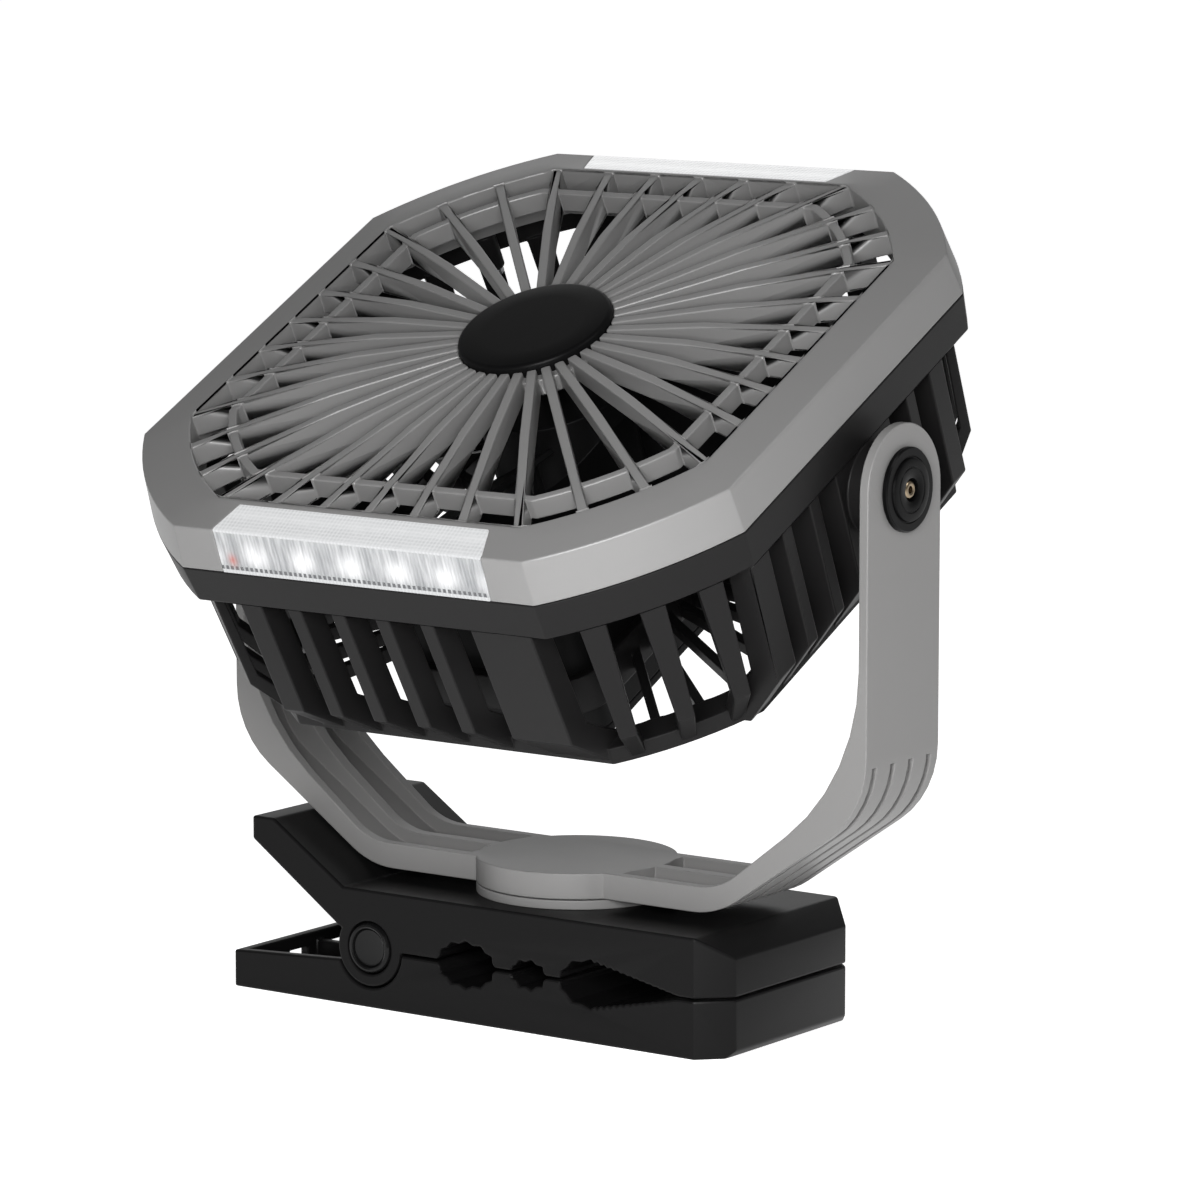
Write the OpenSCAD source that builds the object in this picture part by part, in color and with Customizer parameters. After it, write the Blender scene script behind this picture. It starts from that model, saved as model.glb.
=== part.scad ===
// Clip-on camping fan: a sprung jaw clip carries a turntable, a yoke and a
// chamfered-square fan head with two lamp bars. Millimetres, +Z up.
// The origin lies on the resting face, under the swivel axis, and +X points to the jaw tip.

/* [Clip] */
// Reach of the jaw tip ahead of the swivel axis
jaw_reach = 70; // [66:1:90]
// Reach of the squeeze handle behind the swivel axis
tail_reach = 92; // [90:1:110]
// Width of both clip halves
clip_w = 68; // [60:1:80]
// Height of the closed clip, from resting face to top plate
clip_h = 32.4; // [31:0.2:36]
// Height of the line where the jaws meet
split_z = 16; // [15:0.2:17]
// Gap between the closed jaws
jaw_gap = 0.7; // [0.6:0.1:1.2]
// Cut at the two upright corners of the jaw tip
tip_cut = 8; // [4:0.5:12]
// Distance of the hinge pin behind the swivel axis
pin_back = 45; // [43:0.5:47]
// Radius of the hinge pin
pin_r = 3; // [2.5:0.1:4]
// Radius of the round ear about the pin
ear_r = 10.6; // [9:0.1:11]
// Thickness of each outer ear
ear_t = 6; // [5:0.5:8]
// Slope of the upper squeeze handle
handle_slope = 34; // [30:0.5:35]
// Wall of the handles
handle_wall = 3; // [2:0.2:4]
// Wire radius of the torsion spring
wire_r = 1; // [0.7:0.1:1.2]

/* [Turntable and yoke] */
// Radius of the turntable
table_r = 27.3; // [24:0.1:30]
// Thickness of the fixed lower ring
ring_t = 2.5; // [2:0.1:4]
// Height of the turning disc and of the yoke base
base_h = 7; // [6:0.2:9]
// Clearance between the head and the inner face of each arm
arm_gap = 6.5; // [5:0.1:8]
// Thickness of the yoke arms
arm_t = 2.7; // [2.5:0.1:3.2]
// Width of the yoke
yoke_w = 34.5; // [31:0.5:37]
// Height of the tilt axis
tilt_z = 149.8; // [148:0.2:165]
// Radius of the swivel bolt
bolt_r = 3; // [2.5:0.1:3.5]
// Radius of the tilt trunnions on the head
trunnion_r = 5; // [4:0.1:6]
// Radius of the pivot caps
cap_r = 11.1; // [9:0.1:13]

/* [Head] */
// Half width of the head at the bezel ridge
head_half = 95; // [90:0.5:95.5]
// Reach of the round head corners from the fan axis, at the bezel ridge
head_reach = 110.3; // [108:0.1:114]
// Backward tilt of the head at rest
head_tilt = 27; // [20:1:35]
// Height of the bezel ridge above the tilt axis
ridge_n = 36; // [33:0.5:38]
// Height of the grey bezel wall
bezel_h = 12.5; // [11:0.5:14]
// Height of the black band behind the bezel
band_h = 10.8; // [9:0.2:12]
// Width of the flat bezel between its ridge and the air opening
bezel_w = 11.7; // [10:0.1:15]
// Half width at which the grille ribs bend
kink_half = 48; // [40:1:56]
// Number of grille ribs
rib_count = 36; // [24:4:44]
// Width of a grille rib
rib_w = 2.6; // [2:0.1:3.2]
// Radius of the hub badge
badge_r = 21.2; // [18:0.1:26]
// Half length of a lamp bar at the ridge
lamp_half = 43.2; // [36:0.2:48]
// Depth of the straight cage fins behind the tilt axis
fin_depth = 22.5; // [19:0.5:25]
// Depth of the rear plane of the cage behind the tilt axis
rear_depth = 37; // [34:0.5:40]
// Half width of the ring at the rear of the cage
rear_half = 80.5; // [78:0.5:84]

/* [Drive] */
// Tip radius of the fan blades
blade_tip_r = 76; // [70:0.5:80]
// Number of fan blades
blade_count = 7; // [5:1:9]
// Pitch of the fan blades
blade_pitch = 30; // [22:1:34]
// Radius of the motor shaft
shaft_r = 1.5; // [1.2:0.1:2]
// Half width of the rear pod
pod_half = 30; // [29:0.5:33]
// Half length of the rear pod
pod_long = 60; // [57:0.5:64]
// Depth of the pod cover behind the tilt axis
pod_depth = 46; // [45:0.5:50]
// Radius of a battery cell
cell_r = 9.2; // [8.8:0.1:9.4]
// Length of a battery cell
cell_len = 65; // [60:1:66]
// Radius of the push buttons
button_r = 5; // [4:0.1:6]
// Travel of the push buttons
button_travel = 1; // [0.6:0.1:1.2]

/* [Hidden] */
$fn = 96;

// Clearances: running fits, faces of different bodies, and seats of fixed pieces
run_gap = 0.06;
body_gap = 0.3;
seat_gap = 0.05;
// Overlap that carries a cut past a face
past = 1;

// Clip levels
pin_lift = 0.5;
pin_z = split_z + pin_lift;
lower_top = split_z - jaw_gap / 2;
upper_floor = split_z + jaw_gap / 2;
side_y = clip_w / 2;
ear_in = side_y - ear_t;
pin_head_r = 7;
pin_head_t = 2;
head_seat = 2.6;
tip_drop = 5.6;
tip_top = clip_h - tip_drop;
foot_bevel = 2;
lower_tail_h = 10.3;
lower_rise = 2.5;
// Upper handle: its top line leaves the top plate at the knee, and its end is blunt
knee_back = 8.9;
knee_x = -pin_back - knee_back;
handle_short = 8.3;
handle_tip_x = -tail_reach + handle_short;
handle_t = 8.5;
nose_out = 1.5;
nose_drop = 3.5;
ear_shoulder = 5;
// Room for the spring about the pin
well_reach = 13;
well_x1 = -pin_back + well_reach;
well_roof = 3.4;
well_top = clip_h - well_roof;
ear_room = 0.5;
lower_ear_t = 6;
lower_ear_r = 8;
bolt_head_r = 6;
bolt_head_h = 4;
bolt_well_r = 8;
plate_t = 6;
washer_t = 1.2;

// Grip holes along the jaw line: centre, half length and half height
hole_a = [-12.3, 9.9, 6.4];
hole_b = [8.4, 6.1, 4.1];
// Long tapered hole: start, widest place, point and half height
taper_x0 = 18.3;
taper_xm = 29;
taper_x1 = 58.6;
taper_h = 6.7;
tooth = 0.9;
teeth_a = 12;
teeth_b = 9;
taper_teeth = 14;

// Turntable and yoke levels
ring_z0 = clip_h;
ring_z1 = ring_z0 + ring_t;
base_z0 = ring_z1 + body_gap;
base_z1 = base_z0 + base_h;
bend_slope = 34.6;
inner_slope = 38;
arm_in = head_half + arm_gap;
yoke_half = arm_in + arm_t;
bend_out = 3.5;
inner_out = 0.7;
bend_x = bend_out - knee_x;
bend_r = 25;
shoulder_r = 26;
inner_bend_r = 20;
inner_shoulder_r = 58;
web_t = 2.4;
lip_t = 3.2;
mid_rib_t = 4;
groove_d = 1.4;
groove_w = 2.2;
groove_count = 4;
groove_in = 8;
groove_rise = 43.5;
channel_in = 2;
channel_stop = 33;
insert_r = 5;
insert_h = 5;

// Head levels along its own axis
wall_n = ridge_n - bezel_h;
band_n = wall_n - band_h;
rim_rise = 2;
open_n = ridge_n + rim_rise;
rib_rise = 4.7;
rib_top = ridge_n + rib_rise;
rib_dip = 0.2;
kink_reach = 57;
badge_t = 4;
badge_rise = 2.6;
badge_seat = ridge_n + badge_rise;
plate_drop = 0.8;
rib_start = badge_r + 2 * seat_gap;
wall_flare = 1.3;
band_taper = 1.1;
slope_in = 1;
// Each lower outline of the head is a scaled copy of the one at the ridge
wall_half = head_half + wall_flare;
wall_reach = head_reach * wall_half / head_half;
ring_in = 10.7;
ring_w = 2.4;
ring_rise = 0.6;
ring_h = 5.6;
rib_h = 6;
rim_t = 1.9;
skin = 2.4;
joint_gap = 0.1;
open_half = head_half - bezel_w;
open_in = 14;
open_reach = head_reach - open_in;
ring_half = open_half - ring_in;
ring_reach = open_reach - ring_in;
rim_out = open_half + rim_t;
lens_t = 2;
lamp_flare = 3;
board_t = 1.2;
board_end = 1;
board_foot = 1;
chip_count = 5;
chip_w = 4;
chip_t = 1;

// Cage
band_half = wall_half - band_taper;
band_reach = wall_reach * band_half / wall_half;
fin_lean = 2.5;
fin_half = band_half - fin_lean;
fin_reach = band_reach - fin_lean;
fin_t = 8;
corner_fin_t = 2.8;
fin_ease = 2;
// Fins and bars end inside the band and the wider rear ring, just short of their faces
fin_in = 0.4;
foot_in = 0.6;
bar_in = 0.4;
rear_ring_t = 9;
rear_in = 15.1;
rear_reach = rear_half + rear_in;
rear_bar_t = 5;
rear_bar_w = 2.6;
bar_count = 6;
bar_step = 8.2;
fin_w = 4.4;
end_fin_w = 7;
face_first = -39.4;
face_pitch = 14.35;
panel_at = 41.5;
panel_w = 19;
arm_first = 25.1;
arm_pitch = 13.7;
pad_w = 28;
first_fin_w = 9;
corner_fin_w = 7;
corner_foot_w = 3.7;
corner_step = 8.2;
// Two opposite corners have their fins set further in
corner_in = 4.5;
boss_r = 12;
boss_root = 3;
bore_root = 2;
washer_in = 1;
boss_x = arm_in - 2;
screw_in = 10.8;
screw_reach = head_reach - screw_in;
screw_boss_r = 3.5;
screw_r = 1.3;
screw_head_r = 2.6;
screw_head_h = 2;
screw_web_t = 3;
cap_t = 2;
cap_step = 0.6;
cap_rim = 2.6;
cap_bore_r = 3;
pivot_head_r = 2.7;
pivot_head_h = 1;
collar_t = 3;
collar_proud = 0.8;

// Pod and drive
pod_front = -12;
pod_wall = 2.4;
pod_round = 8;
cell_gap = 1.2;
cell_p = cell_r + cell_gap / 2;
cell_roof = 0.4;
tray_gap = 2;
tray_h = 6;
cell_n = pod_front - pod_wall - cell_r - cell_roof;
board_n = cell_n - cell_r - tray_gap;
pcb_t = 1.6;
post_p = 22.5;
post_q = 51;
post_r = 3;
post_bore = 12;
pod_head_h = 1.4;
pod_screw_hold = 8;
cover_t = 2.4;
cover_n = -pod_depth;
switch_h = 3.4;
switch_w = 6;
button_p = 13;
button_q = 10;
flange_r = button_r + 1.2;
flange_t = 1.2;
proud = 1.8;
stem_r = 1.5;
port_q = -23;
port_w = 9;
port_t = 3.3;
port_fit = 0.4;
socket_wall = 0.5;
socket_back = 2;
plug_lip = 2.5;
plug_t = 1.4;
tube_r = 4;
bearing_r = 3;
bearing_h = 3;
tube_short = 1;
stator_r = 13;
stator_h = 12;
stator_lift = 2;
pole_count = 9;
pole_gap = 2.4;
pole_root = 3;
cup_r = 16.5;
cup_t = 1.2;
cup_lift = 3;
cup_h = 19;
cup_n0 = pod_front + cup_lift;
cup_n1 = cup_n0 + cup_h;
hub_r = 22;
hub_lift = 6;
hub_n0 = pod_front + hub_lift;
hub_n1 = 23;
blade_t = 1.8;
blade_chord = 44;
blade_root = 0.8;
blade_in = 2;
nut_r = 4;
nut_roof = 1;
shaft_out = 3;
shaft_top = hub_n1 + shaft_out;

// Direction of a vector
function unit(v) = v / norm(v);

// Points of a round of radius r in the corner b between its neighbours a and c
function corner_arc(a, b, c, r, steps) =
    let (u = unit(a - b),
         v = unit(c - b),
         half = acos(u * v) / 2,
         centre = b + unit(u + v) * r / sin(half),
         first = b + u * r / tan(half) - centre,
         last = b + v * r / tan(half) - centre,
         start = atan2(first[1], first[0]),
         sweep = (atan2(last[1], last[0]) - start + 540) % 360 - 180)
    [for (i = [0:steps]) centre + r * [cos(start + sweep * i / steps), sin(start + sweep * i / steps)]];

// Outline with each corner rounded by its own radius, where 0 keeps it sharp
function rounded(pts, radii, steps = 6) =
    let (n = len(pts))
    [for (i = [0:n - 1]) each radii[i] == 0 ? [pts[i]]
        : corner_arc(pts[(i + n - 1) % n], pts[i], pts[(i + 1) % n], radii[i], steps)];

// Distance from the centre, along angle a, to a square plan whose corners are rounded at a reach
function plan_reach(half, reach, a) = min(half / max(abs(cos(a)), abs(sin(a))), reach);

// Depth at which a radial fin of width w still ends inside a round corner
function arc_depth(reach, w) = sqrt(pow(reach, 2) - pow(w / 2, 2));

// Prism of an X-Z outline across the clip, between two Y places
module across(pts, y0, y1) {
    translate([0, y1, 0]) rotate([90, 0, 0]) linear_extrude(y1 - y0) polygon(pts);
}

// Cylinder along Y about the hinge pin
module about_pin(r, y0, y1) {
    translate([-pin_back, y0, pin_z]) rotate([-90, 0, 0]) cylinder(r = r, h = y1 - y0);
}

// Cylinder along X at the tilt axis, in the head frame
module about_tilt(r, x0, x1) {
    translate([x0, 0, 0]) rotate([0, 90, 0]) cylinder(r = r, h = x1 - x0);
}

// Frame of the tilted head: X across, Y up the face, Z out of the grille
module in_head() {
    translate([0, 0, tilt_z]) rotate([head_tilt, 0, 0]) children();
}

// Block of the head's plan from level n0 to n1 that tapers from half width half0 to half1
module tapered(half0, reach0, half1, n0, n1) {
    translate([0, 0, n0]) intersection() {
        linear_extrude(n1 - n0, scale = half1 / half0) square(2 * half0, center = true);
        cylinder(r1 = reach0, r2 = reach0 * half1 / half0, h = n1 - n0);
    }
}

// Straight block of a square plan with round corners, from level n0 to n1
module block(half, reach, n0, n1) {
    translate([0, 0, n0]) intersection() {
        translate([-half, -half, 0]) cube([2 * half, 2 * half, n1 - n0]);
        cylinder(r = reach, h = n1 - n0);
    }
}

// Such a block set in by an even wall t
module inset_block(half, reach, t, n0, n1) {
    block(half - t, reach - t, n0, n1);
}

// Toothed round grip hole about [x, half length, half height]
module grip_hole(hole, teeth) {
    pts = [for (i = [0:2 * teeth - 1])
        let (a = 180 * i / teeth,
             k = i % 2 == 0 ? 0 : tooth)
        [hole[0] + (hole[1] - k) * cos(a), split_z + (hole[2] - k) * sin(a)]];
    across(pts, -side_y - past, side_y + past);
}

// Toothed long grip hole that narrows towards the jaw tip
module taper_hole(teeth) {
    round_pts = [for (i = [0:10])
        let (a = 90 + 18 * i,
             k = i % 2 == 0 ? 0 : tooth)
        [taper_xm + (taper_xm - taper_x0 - k) * cos(a), split_z + (taper_h - k) * sin(a)]];
    lower_pts = [for (i = [1:2 * teeth])
        let (t = i / (2 * teeth),
             k = i % 2 == 0 ? 0 : tooth)
        [taper_xm + (taper_x1 - taper_xm) * t, split_z - max((taper_h - k) * (1 - t), 0)]];
    upper_pts = [for (i = [2 * teeth - 1:-1:1]) [lower_pts[i - 1][0], 2 * split_z - lower_pts[i - 1][1]]];
    across(concat(round_pts, lower_pts, upper_pts), -side_y - past, side_y + past);
}

// All grip holes, cut from both jaws
module grip_holes() {
    grip_hole(hole_a, teeth_a);
    grip_hole(hole_b, teeth_b);
    taper_hole(taper_teeth);
}

// Plan of the clip, with the two jaw corners cut
module clip_plan() {
    pts = [[-tail_reach, -side_y], [jaw_reach - tip_cut, -side_y], [jaw_reach, tip_cut - side_y],
           [jaw_reach, side_y - tip_cut], [jaw_reach - tip_cut, side_y], [-tail_reach, side_y]];
    linear_extrude(3 * clip_h, center = true) polygon(pts);
}

// Lower clip half: jaw, open handle channel and inner ears
module lower_jaw() {
    channel_x0 = -tail_reach + handle_wall;
    channel_y = side_y - handle_wall;
    side_pts = [[-tail_reach, 0], [jaw_reach - foot_bevel, 0], [jaw_reach, foot_bevel],
                [jaw_reach, lower_top], [-pin_back, lower_top],
                [-pin_back, lower_tail_h + lower_rise], [-tail_reach, lower_tail_h]];
    slot_y = 9;
    slot_w = 8;
    slot_h = 2.4;
    slot_lift = 1;
    web_stop = 14;
    web_drop = 4;
    color("#232324") difference() {
        union() {
            intersection() {
                difference() {
                    across(side_pts, -side_y, side_y);
                    translate([channel_x0, -channel_y, handle_wall])
                        cube([well_x1 - channel_x0, 2 * channel_y, clip_h]);
                    grip_holes();
                }
                clip_plan();
            }
            translate([channel_x0 - handle_wall / 2, -handle_wall / 2, handle_wall / 2])
                cube([tail_reach - pin_back - web_stop, handle_wall, lower_tail_h - web_drop]);
            for (side = [-1, 1]) lower_ear(side);
        }
        for (side = [-1, 1])
            translate([-tail_reach - past, side * slot_y - slot_w / 2, handle_wall + slot_lift])
                cube([handle_wall + 2 * past, slot_w, slot_h]);
        for (side = [-1, 1])
            about_pin(ear_r + ear_room, side > 0 ? ear_in - body_gap : -side_y - past,
                      side > 0 ? side_y + past : -ear_in + body_gap);
        about_pin(pin_r + seat_gap / 2, -side_y, side_y);
    }
}

// One inner ear of the lower half
module lower_ear(side) {
    y_out = ear_in - body_gap;
    y0 = side > 0 ? y_out - lower_ear_t : -y_out;
    about_pin(lower_ear_r, y0, y0 + lower_ear_t);
    translate([-pin_back - lower_ear_r, y0, handle_wall / 2])
        cube([2 * lower_ear_r, lower_ear_t, pin_z - handle_wall / 2]);
}

// Steel hinge pin with a round head let into each outer ear
module clip_pin() {
    head_y = side_y - head_seat + body_gap;
    color("#2e2e30") {
        about_pin(pin_r, -head_y, head_y);
        for (side = [-1, 1])
            about_pin(pin_head_r, side > 0 ? head_y : -head_y - pin_head_t,
                      side > 0 ? head_y + pin_head_t : -head_y);
    }
}

// Torsion spring: one unbroken wire, leg, coil and leg
spring_turns = 5;
spring_r = 6.4;
coil_gap = 0.7;
spring_pitch = 2 * wire_r + coil_gap;
spring_a0 = -79;
spring_end = 59;
spring_a1 = spring_end + 360 * spring_turns;
spring_leg = 27;
wire_sides = 6;
rings_per_turn = 8;

function coil_point(a) =
    [-pin_back + spring_r * cos(a), spring_pitch * ((a - spring_a0) / 360 - spring_turns / 2),
     pin_z + spring_r * sin(a)];
function coil_way(a) = unit([-sin(a), spring_pitch / (2 * PI * spring_r), cos(a)]);
spring_angles = [for (i = [0:rings_per_turn * spring_turns + 3])
    spring_a0 + (spring_a1 - spring_a0) * i / (rings_per_turn * spring_turns + 3)];
spring_path = concat([coil_point(spring_a0) - spring_leg * coil_way(spring_a0)],
                     [for (a = spring_angles) coil_point(a)],
                     [coil_point(spring_a1) + spring_leg * coil_way(spring_a1)]);
spring_ways = concat([coil_way(spring_a0)], [for (a = spring_angles) coil_way(a)], [coil_way(spring_a1)]);
// Rings of the wire stay square to its way, with Y as their steady side
function wire_ring(p, w) =
    let (s = unit([0, 1, 0] - w[1] * w),
         t = cross(w, s))
    [for (k = [0:wire_sides - 1])
        p + wire_r * (cos(360 * k / wire_sides) * s + sin(360 * k / wire_sides) * t)];
spring_gap = min([for (i = [1:len(spring_path) - 2]) for (j = [i + 5:1:len(spring_path) - 2])
    norm(spring_path[i] - spring_path[j])]) - 2 * wire_r;

module clip_spring() {
    echo(spring_gap = spring_gap);
    m = wire_sides;
    n = len(spring_path);
    pts = [for (i = [0:n - 1]) each wire_ring(spring_path[i], spring_ways[i])];
    sides = [for (i = [0:n - 2]) for (k = [0:m - 1])
        let (a = i * m + k,
             b = i * m + (k + 1) % m)
        each [[a, a + m, b], [b, a + m, b + m]]];
    start_cap = [for (k = [1:m - 2]) [0, k, k + 1]];
    end_cap = [for (k = [1:m - 2]) [(n - 1) * m, (n - 1) * m + k + 1, (n - 1) * m + k]];
    color("#8c8f93") polyhedron(pts, concat(sides, start_cap, end_cap));
}

// Height of the top line of the upper handle at a place x
function handle_top(x) = clip_h + (knee_x - x) * tan(handle_slope);

// Upper clip half: jaw, top plate, squeeze handle and outer ears
module upper_jaw() {
    tip_z = handle_top(handle_tip_x);
    drop = handle_t / cos(handle_slope);
    side_pts = [[-pin_back, upper_floor], [jaw_reach, upper_floor], [jaw_reach, tip_top],
                [jaw_reach - tip_cut, clip_h], [knee_x, clip_h], [handle_tip_x, tip_z],
                [handle_tip_x - nose_out, tip_z - nose_drop], [handle_tip_x - nose_out, tip_z - drop],
                [-pin_back - ear_r, pin_z + ear_shoulder], [-pin_back, pin_z]];
    inner_drop = handle_wall / cos(handle_slope);
    hollow_pts = [[well_x1, pin_z - ear_r - past], [well_x1, well_top], [knee_x + handle_wall, well_top],
                  [handle_tip_x + handle_wall, handle_top(handle_tip_x + handle_wall) - inner_drop],
                  [handle_tip_x + handle_wall, pin_z - ear_r - past]];
    washer_seat = clip_h - plate_t;
    color("#242425") difference() {
        intersection() {
            union() {
                across(side_pts, -side_y, side_y);
                about_pin(ear_r, -side_y, side_y);
            }
            clip_plan();
        }
        across(hollow_pts, -ear_in, ear_in);
        grip_holes();
        about_pin(pin_r + run_gap, -side_y - past, side_y + past);
        for (side = [-1, 1])
            about_pin(pin_head_r + body_gap, side > 0 ? side_y - head_seat : -side_y - past,
                      side > 0 ? side_y + past : -side_y + head_seat);
        translate([0, 0, upper_floor - past]) cylinder(r = bolt_well_r, h = washer_seat - upper_floor + past);
        cylinder(r = bolt_r + run_gap, h = clip_h + past);
    }
}

// Fixed ring under the turning disc
module turntable_ring() {
    color("#a2a2a1") translate([0, 0, ring_z0]) difference() {
        cylinder(r = table_r, h = ring_t);
        translate([0, 0, -past]) cylinder(r = bolt_r + run_gap, h = ring_t + 2 * past);
    }
}

// Steel washer under the bolt hole, inside the upper jaw
module swivel_washer() {
    color("#9a9da1") translate([0, 0, clip_h - plate_t - washer_t]) difference() {
        cylinder(r = bolt_well_r - body_gap, h = washer_t);
        translate([0, 0, -past]) cylinder(r = bolt_r + body_gap, h = washer_t + 2 * past);
    }
}

// Steel swivel bolt that turns with the yoke
module swivel_bolt() {
    under = clip_h - plate_t - washer_t - body_gap;
    color("#8e9195") {
        translate([0, 0, under - bolt_head_h]) cylinder(r = bolt_head_r, h = bolt_head_h);
        translate([0, 0, under - past]) cylinder(r = bolt_r, h = base_z0 + insert_h - under + past);
    }
}

// Brass insert in the turning disc
module swivel_insert() {
    color("#b08d4a") translate([0, 0, base_z0]) difference() {
        cylinder(r = insert_r, h = insert_h);
        translate([0, 0, -past]) cylinder(r = bolt_r + seat_gap / 2, h = insert_h + 2 * past);
    }
}

// Right half of the outer yoke line, moved inwards by off, from x0 up to height z1
function yoke_line(off, x0, z1) =
    let (lift = off / cos(bend_slope),
         x1 = bend_x + (off - lift) / tan(bend_slope),
         x2 = yoke_half - off,
         z2 = base_z0 + (x2 - bend_x) * tan(bend_slope) + lift)
    [[x0, base_z0 + off], [x1, base_z0 + off], [x2, z2], [x2, z1]];

// Right half of the yoke wall
function yoke_half_outline() =
    let (z1 = tilt_z + yoke_w,
         x1 = bend_x + inner_out,
         z2 = base_z1 + (arm_in - x1) * tan(inner_slope),
         pts = concat(yoke_line(0, 0, z1), [[arm_in, z1], [arm_in, z2], [x1, base_z1], [0, base_z1]]))
    rounded(pts, [0, bend_r, shoulder_r, 0, 0, inner_shoulder_r, inner_bend_r, 0]);

// Space inside the yoke down to its web, cut out between the lips
function channel_outline() =
    let (x0 = table_r - channel_in,
         z1 = tilt_z - boss_r - channel_stop)
    rounded(concat(yoke_line(web_t, x0, z1), [[x0, z1]]), [0, bend_r + web_t, shoulder_r - web_t, 0, 0]);

// Space outside the bend, cut as shallow grooves
function groove_outline() =
    let (x0 = bend_x - groove_in,
         z1 = base_z0 + groove_rise,
         far = yoke_half + past)
    rounded(concat(yoke_line(groove_d, x0, z1), [[far, z1], [far, base_z0 - past], [x0, base_z0 - past]]),
            [0, bend_r + groove_d, shoulder_r - groove_d, 0, 0, 0, 0]);

// Half of the yoke, mirrored for the left arm
module yoke_side() {
    channel_w = (yoke_w - 2 * lip_t - mid_rib_t) / 2;
    difference() {
        across(yoke_half_outline(), -yoke_w / 2, yoke_w / 2);
        for (side = [-1, 1])
            across(channel_outline(), side > 0 ? mid_rib_t / 2 : -mid_rib_t / 2 - channel_w,
                   side > 0 ? mid_rib_t / 2 + channel_w : -mid_rib_t / 2);
        for (i = [0:groove_count - 1])
            let (y = yoke_w * ((i + 0.5) / groove_count - 0.5))
            across(groove_outline(), y - groove_w / 2, y + groove_w / 2);
    }
}

// Grey yoke with the turning disc in one piece
module yoke() {
    color("#9b9b9a") difference() {
        union() {
            intersection() {
                union() {
                    yoke_side();
                    mirror([1, 0, 0]) yoke_side();
                }
                union() {
                    translate([-yoke_half - past, -yoke_w, 0])
                        cube([2 * (yoke_half + past), 2 * yoke_w, tilt_z]);
                    translate([0, 0, tilt_z]) about_tilt(yoke_w / 2, -yoke_half - past, yoke_half + past);
                }
            }
            translate([0, 0, base_z0]) cylinder(r = table_r, h = base_h);
        }
        translate([0, 0, tilt_z]) about_tilt(trunnion_r + run_gap, -yoke_half - past, yoke_half + past);
        translate([0, 0, base_z0 - past]) cylinder(r = insert_r + seat_gap / 2, h = insert_h + past);
    }
}

// Pair of nylon washers between the arms and the head
module tilt_washers() {
    color("#d8d6cf") translate([0, 0, tilt_z]) for (side = [-1, 1]) difference() {
        about_tilt(boss_r - washer_in, side > 0 ? boss_x + body_gap : -arm_in,
                   side > 0 ? arm_in : -boss_x - body_gap);
        about_tilt(trunnion_r + body_gap, -yoke_half, yoke_half);
    }
}

// Grey bezel with the radial grille and its ring in one moulding
module front_grille() {
    ring_top = open_n + ring_rise;
    plate_n = rib_top - rib_h - plate_drop;
    color("#8b8a89") in_head() {
        difference() {
            union() {
                tapered(wall_half, wall_reach, head_half, wall_n + joint_gap, ridge_n);
                tapered(head_half, head_reach, rim_out - slope_in, ridge_n, open_n);
            }
            block(open_half, open_reach, wall_n, wall_n + 2 * bezel_h);
            difference() {
                inset_block(head_half, head_reach, skin, wall_n, ridge_n - skin);
                inset_block(open_half, open_reach, -rim_t, wall_n - past, ridge_n);
                for (a = [45:90:315]) rotate(a) screw_post(wall_n - past, ridge_n);
            }
            for (a = [45:90:315]) rotate(a) translate([screw_reach, 0, wall_n - past])
                cylinder(r = screw_r, h = bezel_h - skin);
            for (a = [0, 180]) rotate(a) lamp_space();
        }
        grille_ribs();
        difference() {
            block(ring_half, ring_reach, ring_top - ring_h, ring_top);
            inset_block(ring_half, ring_reach, ring_w, ring_top - ring_h - past, ring_top + past);
        }
        translate([0, 0, plate_n]) cylinder(r = badge_r + rib_w, h = badge_seat - plate_n);
    }
}

// Radial ribs: level over the middle, then sloping to the rim of the opening
module grille_ribs() {
    for (i = [0:rib_count - 1])
        let (a = 360 * i / rib_count,
             bend = plan_reach(kink_half, kink_reach, a),
             rim = plan_reach(open_half, open_reach, a) + rim_t / 2,
             low = open_n - rib_dip)
        rotate(a) translate([0, rib_w / 2, 0]) rotate([90, 0, 0]) linear_extrude(rib_w)
            polygon([[rib_start, rib_top - rib_h], [bend, rib_top - rib_h], [rim, low - rib_h],
                     [rim, low], [bend, rib_top], [rib_start, rib_top]]);
}

// Solid post for a grille screw, tied to the corner face
module screw_post(n0, n1) {
    translate([screw_reach, 0, n0]) cylinder(r = screw_boss_r, h = n1 - n0);
    translate([screw_reach, -screw_web_t / 2, n0])
        cube([screw_in - skin / 2, screw_web_t, n1 - n0]);
}

// Plan of a lamp bar on the lower side, with flared ends, less an inset
module lamp_plan(inset) {
    inner = lamp_half - lamp_flare - inset;
    outer = lamp_half - inset;
    ridge_d = head_half - slope_in;
    far = wall_half + past;
    linear_extrude(4 * bezel_h, center = true)
        polygon([[-inner, -rim_out], [-outer, -ridge_d], [-outer, -far], [outer, -far], [outer, -ridge_d],
                 [inner, -rim_out]]);
}

// Room in the bezel for a lamp bar, down to the rim of the opening
module lamp_space() {
    translate([0, 0, ridge_n]) lamp_plan(0);
}

// Prism along a lamp bar of an outline in distance from the axis and level
module along_lamp(pts) {
    rotate([90, 0, -90]) linear_extrude(2 * lamp_half, center = true) polygon(pts);
}

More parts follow.
